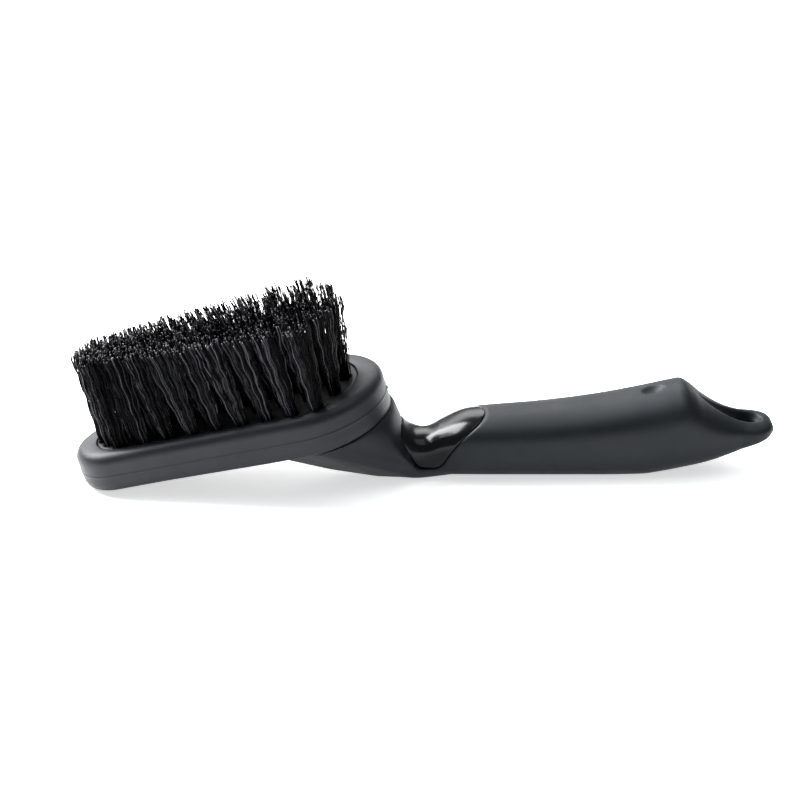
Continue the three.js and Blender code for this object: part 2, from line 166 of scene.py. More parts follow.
def extrudedNylon():
    # Crimped nylon filament: most strands are black, and a few random strands are painted grey as painted
    # highlight lines along the strands. The cut ends of the paler strands are painted lighter still, as a
    # painted glint on the tips.
    material = bpy.data.materials.new("extruded crimped nylon")
    material.use_nodes = True
    tree = material.node_tree
    shader = tree.nodes["Principled BSDF"]
    strand = addNode(tree, "ShaderNodeAttribute", {"attribute_name": "strandTone"})
    # painted highlight: a few random strands are made grey, in place of the lines of light along the strands
    paintedHighlightStrands = addNode(tree, "ShaderNodeMath", {"operation": "POWER"}, {0: strand.outputs["Fac"], 1: 9.0})
    tint = addNode(tree, "ShaderNodeMix", {"data_type": "RGBA"}, {
        "Factor": paintedHighlightStrands.outputs[0], "A": colour("#010102"), "B": colour("#606066")})
    # painted glint: the cut tips of the paler strands are made lighter, in place of light catching the tips
    along = addNode(tree, "ShaderNodeAttribute", {"attribute_name": "alongStrand"})
    cut = addNode(tree, "ShaderNodeMapRange", inputs={
        "Value": along.outputs["Fac"], "From Min": 0.988, "From Max": 0.998, "To Min": 0.0, "To Max": 0.85})
    some = addNode(tree, "ShaderNodeMath", {"operation": "POWER"}, {0: strand.outputs["Fac"], 1: 3.0})
    paintedTipGlint = addNode(tree, "ShaderNodeMath", {"operation": "MULTIPLY"}, {
        0: cut.outputs[0], 1: some.outputs[0]})
    withPaintedTips = addNode(tree, "ShaderNodeMix", {"data_type": "RGBA"}, {
        "Factor": paintedTipGlint.outputs[0], "A": tint.outputs["Result"], "B": colour("#b4b4b8")})
    tree.links.new(withPaintedTips.outputs["Result"], shader.inputs["Base Color"])
    place = addNode(tree, "ShaderNodeTexCoord").outputs["Object"]
    dust = addNode(tree, "ShaderNodeTexNoise", inputs={
        "Vector": place, "Scale": 1 / (2.5 * mm), "Detail": 3.0})
    rough = addNode(tree, "ShaderNodeMapRange", inputs={
        "Value": dust.outputs["Fac"], "From Min": 0.3, "From Max": 0.7, "To Min": 0.24, "To Max": 0.38})
    tree.links.new(rough.outputs[0], shader.inputs["Roughness"])
    draw = addNode(tree, "ShaderNodeTexNoise", inputs={
        "Vector": place, "Scale": 1 / (0.3 * mm), "Detail": 2.0})
    bump = addNode(tree, "ShaderNodeBump", inputs={
        "Strength": 0.15, "Distance": 0.05 * mm, "Height": draw.outputs["Fac"]})
    tree.links.new(bump.outputs[0], shader.inputs["Normal"])
    shader.inputs["IOR"].default_value = 1.53
    shader.inputs["Specular IOR Level"].default_value = 0.04
    return material


def coldDrawnWire():
    # Flattened galvanised wire: a dull silver with a fine mottle.
    material = bpy.data.materials.new("flattened galvanised steel wire")
    material.use_nodes = True
    tree = material.node_tree
    shader = tree.nodes["Principled BSDF"]
    place = addNode(tree, "ShaderNodeTexCoord").outputs["Object"]
    mottle = addNode(tree, "ShaderNodeTexNoise", inputs={
        "Vector": place, "Scale": 1 / (0.6 * mm), "Detail": 4.0})
    tint = addNode(tree, "ShaderNodeMix", {"data_type": "RGBA"}, {
        "Factor": mottle.outputs["Fac"], "A": colour("#8e9194"), "B": colour("#bfc2c4")})
    tree.links.new(tint.outputs["Result"], shader.inputs["Base Color"])
    rough = addNode(tree, "ShaderNodeMapRange", inputs={
        "Value": mottle.outputs["Fac"], "To Min": 0.25, "To Max": 0.5})
    tree.links.new(rough.outputs[0], shader.inputs["Roughness"])
    shader.inputs["Metallic"].default_value = 1.0
    return material


bristleNylon = extrudedNylon()
anchorWire = coldDrawnWire()
print("materials made")


# head

head = {
    "pitch": 15.7,  # degrees, rear end up from the underside of the grip
    "middle": (-74.3, 0, 8.4),  # of the head's underside, in the handle's own frame, mm
    "span": 72,  # between the centres of the two round ends
    "frontRadius": 16.2,
    "rearRadius": 27.5,
    "thickness": 15,
    "edgeRadius": 3.8,
    "rearLowerShare": 0.55,  # of the edge radius, under the rear of the head
    "rearBlend": (-20, 20),  # the lower edge tightens between these places along the head
    "rearSteps": 110,
    "frontSteps": 90,
    "sideSteps": 40,
}
restPitch = 1.55  # degrees the whole brush tips, so that the head's front edge and the grip both touch down

headTaper = math.asin((head["rearRadius"] - head["frontRadius"]) / head["span"])
headMatrix = Matrix.Translation(head["middle"]) @ Matrix.Rotation(-math.radians(head["pitch"]), 4, "Y")


def headOutline():
    # centre, radius and direction of the outward normal, once round the egg-shaped plate
    wide = math.pi / 2 + headTaper
    half = head["span"] / 2
    rear, front = head["rearRadius"], head["frontRadius"]
    runs = [
        (half, half, rear, rear, -wide, wide, head["rearSteps"]),
        (half, -half, rear, front, wide, wide, head["sideSteps"]),
        (-half, -half, front, front, wide, 2 * math.pi - wide, head["frontSteps"]),
        (-half, half, front, rear, -wide, -wide, head["sideSteps"]),
    ]
    rows = []
    for c0, c1, r0, r1, a0, a1, steps in runs:
        t = np.arange(steps) / steps
        rows.append(np.stack([c0 + (c1 - c0) * t, r0 + (r1 - r0) * t, a0 + (a1 - a0) * t], axis=1))
    return np.concatenate(rows)


def headRing(inset, z, endInset=None):
    # the outline at height z, drawn in by inset at the sides and by endInset at the two ends
    centre, radius, angle = headOutline().T
    if endInset is not None:
        centre = centre * (1 - (endInset - inset) / (head["span"] / 2))
    reach = radius - inset
    return np.stack([centre + reach * np.cos(angle), reach * np.sin(angle), np.full_like(angle, z)], axis=1)


def quarter(centre, radius, start, steps=8):
    # points of a quarter turn in the section, from the angle start (degrees), turning anticlockwise
    angles = np.radians(start + 90 * np.arange(steps + 1) / steps)
    return [(centre[0] + radius * math.cos(a), centre[1] + radius * math.sin(a)) for a in angles]


bumper = {
    "topLip": 5.0,  # reach of the lip over the block's top, at the sides
    "topEndLip": 8.6,  # the same at the two ends
    "bottomLip": 6.9,
    "lipRound": 0.3,
    "cornerShare": 0.3,  # of the lip's rounding, at the middle of its corner
    "footFlat": 1,  # the underside is flat from this far past the rounded edge
    "wallSteps": 34,
    "close": 0.01,  # allowance where heights and insets are compared
    "wallInside": 3.9,
    "lipThickness": 2.2,
    "partingHeight": 6.8,
    "partingProud": 0.16,
    "partingWidth": 0.34,
    "nub": (0.55, 0.8, 0.6),  # reach, half length and half height of the gate marks at the ends
    "nubBand": 0.5,  # they are only where the section is this near to the outline
}


def bumperSection():
    # (inset from the outline, height) once round the section of the bumper
    t, r, b = head["thickness"], head["edgeRadius"], bumper
    lip, soft = b["lipThickness"], b["lipRound"]
    corner = soft * b["cornerShare"]
    wall = np.linspace(r, t - r, b["wallSteps"])
    proud = b["partingProud"] * np.exp(-((wall - b["partingHeight"]) / b["partingWidth"]) ** 2)
    section = [(b["bottomLip"], lip), (b["bottomLip"], soft)]
    section += [(b["bottomLip"] - corner, corner), (b["bottomLip"] - soft, 0), (r + b["footFlat"], 0)]
    section += quarter((r, r), r, 180)[::-1][1:-1]
    section += list(zip(-proud, wall))
    section += quarter((r, t - r), r, 90)[::-1][1:]
    section += [(b["topLip"] - soft, t), (b["topLip"] - corner, t - corner), (b["topLip"], t - soft)]
    section += [(b["topLip"], t - lip), (b["wallInside"], t - lip), (b["wallInside"], lip)]
    return section


def makeBumper():
    section = bumperSection()
    centre, radius, angle = headOutline().T
    proud, halfLength, halfHeight = bumper["nub"]
    start, end = head["rearBlend"]
    lipFoot = head["thickness"] - bumper["lipThickness"] - bumper["close"]
    pastEdge = head["edgeRadius"] + bumper["close"]
    rings = []
    for inset, z in section:
        atTop = z > lipFoot and inset > pastEdge
        ring = headRing(inset, z, inset + bumper["topEndLip"] - bumper["topLip"] if atTop else None)
        if z < head["edgeRadius"] and inset < pastEdge:
            share = 1 - (1 - head["rearLowerShare"]) * np.clip((ring[:, 0] - start) / (end - start), 0, 1)
            ring = np.stack([centre + (radius - inset * share) * np.cos(angle),
                             (radius - inset * share) * np.sin(angle), z * share], axis=1)
        if abs(inset) < bumper["nubBand"]:
            # small gate marks on the parting line at the very front and the very back
            for way in (0.0, math.pi):
                turn = np.abs((angle - way + math.pi) % (2 * math.pi) - math.pi) * radius
                above = (z - bumper["partingHeight"]) / halfHeight
                rise = proud * np.exp(-(turn / halfLength) ** 2 - above ** 2)
                ring[:, 0] += rise * np.cos(angle)
                ring[:, 1] += rise * np.sin(angle)
        rings.append(ring)
    points = np.concatenate(rings)
    n, rows = len(angle), len(section)
    faces = []
    for row in range(rows):
        for i in range(n):
            j = (i + 1) % n
            nextRow = (row + 1) % rows
            faces.append((row * n + i, row * n + j, nextRow * n + j, nextRow * n + i))
    return points, faces


# the brush's tip onto the table, and the shift that lands the head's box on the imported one
tip = Matrix.Rotation(math.radians(restPitch), 4, "Y")


def tableShift():
    r = head["edgeRadius"]
    lower = quarter((0, r), r, -90, 24)
    upper = quarter((0, head["thickness"] - r), r, 0, 24)
    corners = np.concatenate([headRing(r - x, z) for x, z in lower + upper])
    placed = [tip @ headMatrix @ Vector(p) for p in corners]
    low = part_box("head_bumper")[0]
    return Vector((low[0] - min(p.x for p in placed) * mm, 0, low[2] - min(p.z for p in placed) * mm))


tableOffset = tableShift()
handleToTable = Matrix.Translation(tableOffset) @ tip @ Matrix.Scale(mm, 4)
headToTable = handleToTable @ headMatrix
print("table shift, mm:", [round(v / mm, 2) for v in tableOffset])

headBumper = makeObject("headBumper", meshFrom(*makeBumper(), headToTable), bumperRubber)
faceOutwards(headBumper.data)
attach(headBumper, "root")
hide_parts("head_bumper")
print("bumper made")

# handle: distance fields on a grid, in millimetres in the handle's own frame

handle = {
    "top": [(-16, 21), (-12, 20.4), (-9, 17.6), (-6.5, 16), (-3, 15.2), (0, 15.5), (4.5, 18), (12.5, 21.6),
            (20, 22.6), (40, 24.2), (60, 26.8), (77, 30.2), (88, 32.8), (91.5, 33.3), (95, 31.2), (99, 27.7),
            (103.6, 24.6), (108.3, 22.3), (113, 21), (118, 20.3), (122.5, 19.6), (124.3, 18.6), (125, 17.2)],
    "underside": [(-16, 0.2), (-4, -0.9), (5, -0.6), (20, -0.3), (50, -0.2), (77, 0), (85, 1.2), (94, 3.2),
                  (103.6, 6), (113, 9.4), (121.4, 13), (124, 15), (125, 16.6)],
    "halfWidth": [(-16, 6), (-12, 6.2), (-8, 8), (-4, 9.3), (3, 10), (10, 12), (20, 13.2), (40, 14),
                  (70, 15), (92, 15), (100, 14), (108, 11.6), (113, 10)],
    "buttX": 115,
    "buttRadius": 10,
    "buttPower": 2.5,
    "shoulder": 0.6,
    "topPower": 2.5,
    "bottomPower": 2.8,
    "ends": (-12, 124.9),
    "leastEnd": 0.2,  # half the width left at the very tip
    "blend": 3,  # softness of the join between the grip and the neck
    "headRound": 0.3,  # softness of the edge where the neck meets the head
    "tableRound": 1.2,  # softness of the edge round the flat that it rests on
    "cutRound": 1.1,  # softness of the edges of the scoop and the hang hole
    "windowRound": 0.6,
    "windowBow": 60,  # the window's two walls bow forwards by the square of the distance across, over this
}
neck = {
    "rimInset": 0.1,
    "rimRise": 1.6,  # the rim wraps this far up round the lower edge of the head
    "rimFront": -44,
    "rimEvery": 4,  # the rim takes every fourth point of the head's outline, and the foot every sixth
    "footEvery": 6,
    "footInset": 9.7,
    "footFront": -60,
    "underGap": 0.1,
    "keel": [(-58, 4, 9.3), (-48, 6.5, 6.6), (-41, 7.5, 4.6), (-34, 8, 2.8), (-18, 8, 0.1), (-4, 7.2, -0.9),
             (3, 5.4, -0.8), (9, 3.4, -0.4)],
    "crown": 0.3,
    "waist": [(0, 9.6, 4.5), (0, 7, 12)],
    "soften": 3,  # rounds of smoothing of its facets
    "rearLimit": 16,  # behind this x the neck is left out of the grid
    "faraway": 30,
}
window = [(-12.4, 32), (-11.8, 24.8), (-8.6, 16.8), (-5.4, 10.6), (-3, 4.9), (-1.4, 3.9), (3, 3.8), (5, 4.4),
          (7, 6.4), (9.6, 10.6), (12.6, 14.6), (16, 18.4), (21, 22.6), (27, 32)]
core = {
    "inset": 0.22,  # the polished saddle lies nearly flush in the window
    "buried": 2.4,  # and this far down just outside it
    "ramp": 1.3,
    "rampLead": 0.15,
    "gap": 0.1,  # between the core and the pieces round it
    "tangInset": 4.5,
    "tangStart": (26, 34),
    "ends": (-15, 100),
    "padInset": 3.2,
    "blend": 4,
}
hole = {"x": 115, "radius": 3.8}
scoop = [(96.5, 0.2, 30.2), (100, 1.2, 27.4), (104, 2.2, 24.8), (108, 3.2, 22.7), (112, 4.1, 21.4),
         (116, 4.3, 20.8), (119, 3.4, 20.6), (120.4, 1.7, 20.6)]
dimple = {"x": 80.3, "length": 8.5, "width": 7, "depth": 1.5, "bulge": 4, "round": 0.3, "slopeReach": 3}
gridStep = 0.6
gridLow = (-60.6, -29.4, -3)
gridHigh = (127.2, 29.4, 43.2)
# the least values to divide by, and how often a vertex is pulled back to the level in each round
fieldCare = {"leastSlope": 0.15, "leastSteepness": 0.01, "pulls": 2}


def along(points, x):
    # a smooth curve through the points, read at x
    xs, values = np.array(points, float).T
    slopes = np.empty_like(values)
    slopes[1:-1] = (values[2:] - values[:-2]) / (xs[2:] - xs[:-2])
    slopes[0] = (values[1] - values[0]) / (xs[1] - xs[0])
    slopes[-1] = (values[-1] - values[-2]) / (xs[-1] - xs[-2])
    k = np.clip(np.searchsorted(xs, x, side="right") - 1, 0, len(xs) - 2)
    step = xs[k + 1] - xs[k]
    t = np.clip((x - xs[k]) / step, 0, 1)
    return (values[k] * (2 * t**3 - 3 * t**2 + 1) + slopes[k] * step * (t**3 - 2 * t**2 + t)
            + values[k + 1] * (3 * t**2 - 2 * t**3) + slopes[k + 1] * step * (t**3 - t**2))


gridX, gridY, gridZ = (np.arange(low, high, gridStep) for low, high in zip(gridLow, gridHigh))
atX, atY, atZ = gridX[:, None, None], gridY[None, :, None], gridZ[None, None, :]


def trueDistance(values):
    # a field scaled so that near its zero level it counts in millimetres
    gradient = np.gradient(values, gridStep)
    return values / np.maximum(np.sqrt(sum(g * g for g in gradient)), fieldCare["leastSlope"])


def smoothMax(a, b, width):
    overlap = np.maximum(width - np.abs(a - b), 0) / width
    return np.maximum(a, b) + overlap * overlap * width / 4


def smoothMin(a, b, width):
    return -smoothMax(-a, -b, width)


def blurred(values, rounds):
    for _ in range(rounds):
        for axis in range(3):
            before, after = np.roll(values, 1, axis), np.roll(values, -1, axis)
            values = values / 2 + (before + after) / 4
    return values


def sectionField():
    top, bottom = along(handle["top"], atX), along(handle["underside"], atX)
    past = np.clip((atX - handle["buttX"]) / handle["buttRadius"], 0, 1)**handle["buttPower"]
    roundEnd = np.maximum(handle["buttRadius"] * (1 - past)**(1 / handle["buttPower"]), handle["leastEnd"])
    width = np.where(atX > handle["buttX"], roundEnd, along(handle["halfWidth"], atX))
    shoulder = bottom + handle["shoulder"] * (top - bottom)
    up = atZ - shoulder
    rise = np.where(up > 0, top - shoulder, shoulder - bottom)
    power = np.where(up > 0, handle["topPower"], handle["bottomPower"])
    size = (np.abs(atY / width)**power + np.abs(up / rise)**power)**(1 / power)
    return trueDistance((size - 1) * np.minimum(width, (top - bottom) / 2))


def neckField():
    rim = [headMatrix @ Vector(p) for p in headRing(neck["rimInset"], neck["rimRise"])[::neck["rimEvery"]]]
    footRing = headRing(neck["footInset"], -neck["underGap"])
    foot = [headMatrix @ Vector(p) for p in footRing[::neck["footEvery"]]]
    corners = [p for p in rim if p.x > neck["rimFront"]] + [p for p in foot if p.x > neck["footFront"]]
    corners += [Vector((x, side * y, z)) for x, y, z in neck["keel"] + neck["waist"] for side in (-1, 1)]
    corners += [Vector((x, 0, z - neck["crown"])) for x, y, z in neck["keel"]]
    hull = bmesh.new()
    for p in corners:
        hull.verts.new(p)
    bmesh.ops.convex_hull(hull, input=hull.verts)
    bmesh.ops.recalc_face_normals(hull, faces=hull.faces)
    planes = {tuple(round(v, 3) for v in (*f.normal, f.normal.dot(f.verts[0].co))) for f in hull.faces}
    hull.free()
    near = gridX < neck["rearLimit"]
    distance = np.full((near.sum(), len(gridY), len(gridZ)), -np.inf)
    for nx, ny, nz, offset in sorted(planes):
        np.maximum(distance, nx * atX[near] + ny * atY + nz * atZ - offset, out=distance)
    field = np.full((len(gridX), len(gridY), len(gridZ)), float(neck["faraway"]))
    field[near] = blurred(distance, neck["soften"])
    return field


def outlineField(outline, first, second):
    # distance to a closed outline on a flat grid, negative inside it
    corners = np.array(outline, float)
    gx, gz = first[:, None], second[None, :]
    nearest = np.full((len(first), len(second)), np.inf)
    inside = np.zeros_like(nearest, bool)
    for (x0, z0), (x1, z1) in zip(corners, np.roll(corners, -1, axis=0)):
        ex, ez = x1 - x0, z1 - z0
        t = np.clip(((gx - x0) * ex + (gz - z0) * ez) / (ex * ex + ez * ez), 0, 1)
        nearest = np.minimum(nearest, np.hypot(gx - x0 - t * ex, gz - z0 - t * ez))
        if z0 != z1:
            crosses = (z0 > gz) != (z1 > gz)
            inside ^= crosses & (gx < x0 + ex * (gz - z0) / ez)
    return np.where(inside, -nearest, nearest)


def windowField():
    flat = outlineField(window, gridX, gridZ)
    field = np.empty((len(gridX), len(gridY), len(gridZ)))
    for j, y in enumerate(gridY):
        shift = y * y / handle["windowBow"] / gridStep
        whole = int(shift)
        near, far = np.roll(flat, -whole, axis=0), np.roll(flat, -whole - 1, axis=0)
        field[:, j] = near + (far - near) * (shift - whole)
    return field


def scoopField():
    xs = [(x, r) for x, r, z in scoop]
    zs = [(x, z) for x, r, z in scoop]
    radial = np.hypot(atY, atZ - along(zs, atX)) - along(xs, atX)
    past = np.maximum(scoop[0][0] - atX, atX - scoop[-1][0])
    return np.maximum(radial, past)


def headField():
    # the rounded egg-shaped plate, as a distance on the handle's grid
    pitch, (x0, _, z0) = math.radians(head["pitch"]), head["middle"]
    u = (atX - x0) * math.cos(pitch) + (atZ - z0) * math.sin(pitch) + head["span"] / 2
    w = (atZ - z0) * math.cos(pitch) - (atX - x0) * math.sin(pitch) - head["thickness"] / 2
    v = np.abs(atY)
    front, rear, span = head["frontRadius"], head["rearRadius"], head["span"]
    lean = (front - rear) / span
    straight = math.sqrt(1 - lean * lean)
    which = -lean * v + straight * u
    flat = np.where(which < 0, np.hypot(v, u) - front,
                    np.where(which > straight * span, np.hypot(v, u - span) - rear,
                             straight * v + lean * u - front))
    r = head["edgeRadius"] * head["rearLowerShare"]
    a, b = flat + r, np.abs(w) - head["thickness"] / 2 + r
    return np.hypot(np.maximum(a, 0), np.maximum(b, 0)) + np.minimum(np.maximum(a, b), 0) - r


def dimpleField():
    d = dimple
    share = math.sqrt(1 - (1 - d["depth"] / d["bulge"])**2)
    ahead, behind = along(handle["top"], d["x"] + d["slopeReach"] * np.array([1, -1]))
    slope = math.atan2(ahead - behind, 2 * d["slopeReach"])
    height = along(handle["top"], np.array([float(d["x"])]))[0] + d["bulge"] - d["depth"]
    dx, dz = atX - d["x"], atZ - height
    u = dx * math.cos(slope) + dz * math.sin(slope)
    w = dz * math.cos(slope) - dx * math.sin(slope)
    a, b, c = d["length"] / 2 / share, d["width"] / 2 / share, d["bulge"]
    return trueDistance((np.sqrt((u / a)**2 + (atY / b)**2 + (w / c)**2) - 1) * c)


def meshField(values):
    # a quad mesh of the field's zero level, one vertex in each grid cell that the level passes through
    inside = values < 0
    count = np.zeros(tuple(n - 1 for n in values.shape), np.int8)
    corners = [(i, j, k) for i in (0, 1) for j in (0, 1) for k in (0, 1)]
    for i, j, k in corners:
        count += inside[i:i - 1 or None, j:j - 1 or None, k:k - 1 or None]
    cells = np.argwhere((count > 0) & (count < 8))
    number = np.full(count.shape, -1)
    number[tuple(cells.T)] = np.arange(len(cells))
    total, crossings = np.zeros((len(cells), 3)), np.zeros((len(cells), 1))
    for start in corners:
        for axis in range(3):
            if start[axis]:
                continue
            end = tuple(v + (d == axis) for d, v in enumerate(start))
            a, b = values[tuple((cells + start).T)], values[tuple((cells + end).T)]
            cross = ((a < 0) != (b < 0))[:, None]
            t = (a / np.where(a == b, 1, a - b))[:, None]
            total += np.where(cross, np.array(start) + t * (np.array(end) - start), 0)
            crossings += cross
    places = cells + total / crossings
    quads = []
    for axis in range(3):
        low = np.take(inside, range(values.shape[axis] - 1), axis)
        high = np.take(inside, range(1, values.shape[axis]), axis)
        u, v = np.eye(3, dtype=int)[(axis + 1) % 3], np.eye(3, dtype=int)[(axis + 2) % 3]
        for edges, turn in ((np.argwhere(low & ~high), 1), (np.argwhere(high & ~low), -1)):
            ring = [number[tuple((edges - off).T)] for off in (u + v, v, 0 * u, u)]
            quads.append(np.stack(ring[::turn], axis=1))
    return places, np.concatenate(quads)


def sampled(grid, places):
    # the grid's value between its points
    base = np.clip(np.floor(places).astype(int), 0, np.array(grid.shape) - 2)
    part = places - base
    value = 0
    for i in (0, 1):
        for j in (0, 1):
            for k in (0, 1):
                share = [np.abs(1 - c - part[:, d]) for d, c in enumerate((i, j, k))]
                value = value + grid[tuple((base + (i, j, k)).T)] * share[0] * share[1] * share[2]
    return value


def fieldMesh(values, low, relax=4):
    places, quads = meshField(values)
    slopes = np.gradient(values)
    for _ in range(relax):
        # even out the mesh, then put each vertex back on the level
        total, links = np.zeros_like(places), np.zeros(len(places))
        for side in range(4):
            a, b = quads[:, side], quads[:, (side + 1) % 4]
            for d in range(3):
                total[:, d] += np.bincount(a, places[b, d], len(places))
                total[:, d] += np.bincount(b, places[a, d], len(places))
            links += np.bincount(a, minlength=len(places)) + np.bincount(b, minlength=len(places))
        places = places / 2 + total / links[:, None] / 2
        for _ in range(fieldCare["pulls"]):
            normal = np.stack([sampled(g, places) for g in slopes], axis=1)
            steepness = np.maximum((normal**2).sum(axis=1), fieldCare["leastSteepness"])
            step = np.clip(sampled(values, places) / steepness, -1, 1)
            places = places - step[:, None] * normal
    return places * gridStep + low, quads


section = sectionField()
aboveHead = neck["underGap"] - headField()
tipAngle = math.radians(restPitch)
table = atX * math.sin(tipAngle) - atZ * math.cos(tipAngle) - tableOffset.z / mm
gripEnds = np.maximum(handle["ends"][0] - atX, atX - handle["ends"][1])
hull = neckField()
body = smoothMin(hull, np.maximum(section, gripEnds), handle["blend"])
body = smoothMax(body, aboveHead, handle["headRound"])
windowCut = windowField()
print("handle fields made")

buried = np.clip((windowCut + core["rampLead"]) / core["ramp"], 0, 1)
start, full = core["tangStart"]
inset = core["inset"] + (core["buried"] - core["inset"]) * buried
inset = np.maximum(inset, core["tangInset"] * np.clip((atX - start) / (full - start), 0, 1))
coreEnds = np.maximum(core["ends"][0] - atX, atX - core["ends"][1])
waist = np.maximum(section + inset, coreEnds)
pad = np.maximum(hull + core["padInset"], aboveHead + core["gap"])
spine = smoothMin(waist, pad, core["blend"])
spine = np.maximum(spine, aboveHead)

skin = smoothMax(body, -windowCut, handle["windowRound"])
skin = smoothMax(skin, -scoopField(), handle["cutRound"])
skin = smoothMax(skin, -(np.hypot(atX - hole["x"], atY) - hole["radius"]), handle["cutRound"])
skin = smoothMax(skin, -dimpleField(), dimple["round"])
skin = smoothMax(skin, table, handle["tableRound"])
skin = np.maximum(skin, -(spine + core["gap"]))

for name, field, look, node, slot in (
        ("gripAndNeck", skin, gripRubber, "handle_overmould", "grip"),
        ("coreSaddle", spine, corePlastic, "handle_core", "core")):
    piece = makeObject(name, meshFrom(*fieldMesh(field, gridLow), handleToTable), look)
    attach(piece, "root")
    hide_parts(node)
    print(name, len(piece.data.polygons), "faces")


# bristles and their anchors

tuft = {
    "rows": [9, 10, 11, 10, 9],
    "rowEnds": [(-33.5, 40.5), (-37.5, 46.5), (-40.5, 50)],  # of the outer, the inner and the middle rows
    "sideMargin": 7.6,
    "sunk": 1,  # the strands start this far down in their holes
    "frontLength": 35.5,
    "rearLength": 31.5,
    "rootRadius": 2.1,
    "tipAlong": 4.9,
    "tipOverlap": 1.12,  # a tuft's spread across, as a share of half the room to the next row
    "splay": 0.05,
    "filaments": 64,
    "thickness": 0.19,
    "crimpWave": 9.5,
    "crimpHeight": 0.26,
    "bow": 1.3,
    "stray": 7.5,
    "strayPower": 26,  # the higher, the fewer the strays
    "bowPower": 1.8,
    "bowAcross": 0.35,  # bows reach less far across the brush than along it
    "fanPower": 0.76,
    "shortest": 0.955,
    "trimSpread": 0.05,
    "crimpStart": 5,  # the crimp is at its full height from one fifth of the length up
    "turnsLow": (0, 0, -0.5),  # crimp phase, way of the bow and way of the crimp, in radians
    "turnsHigh": (2.2, 6.2832, 0.5),
    "seed": 11,
    "segments": 20,
}
leanAlong = [(-42, -5), (-20, 1), (5, 4), (30, 1), (50, -8)]  # degrees towards the front, along the head


def headHalfWidth(u):
    slope = math.sin(headTaper)
    side = (head["rearRadius"] + head["frontRadius"]) / 2 / math.cos(headTaper)
    return side + slope * u


def tuftPlaces():
    middleRow = (len(tuft["rows"]) - 1) // 2
    firstU, lastU = tuft["rowEnds"][-1]
    places = []
    for row, count in enumerate(tuft["rows"]):
        first, last = tuft["rowEnds"][middleRow - abs(row - middleRow)]
        for k in range(count):
            u = first + (last - first) * k / (count - 1)
            clamped = min(max(u, tuft["rowEnds"][0][0]), tuft["rowEnds"][0][1])
            rowStep = (headHalfWidth(clamped) - tuft["sideMargin"]) / middleRow
            share = (u - firstU) / (lastU - firstU)
            length = tuft["frontLength"] + (tuft["rearLength"] - tuft["frontLength"]) * share
            lean = math.tan(math.radians(along(leanAlong, np.array([u]))[0])) * length
            v = (row - middleRow) * rowStep
            places.append({"row": row, "number": k, "root": (u, v, head["thickness"] - tuft["sunk"]),
                           "reach": (-lean, v * tuft["splay"], length + tuft["sunk"]),
                           "across": rowStep / 2 * tuft["tipOverlap"]})
    return places


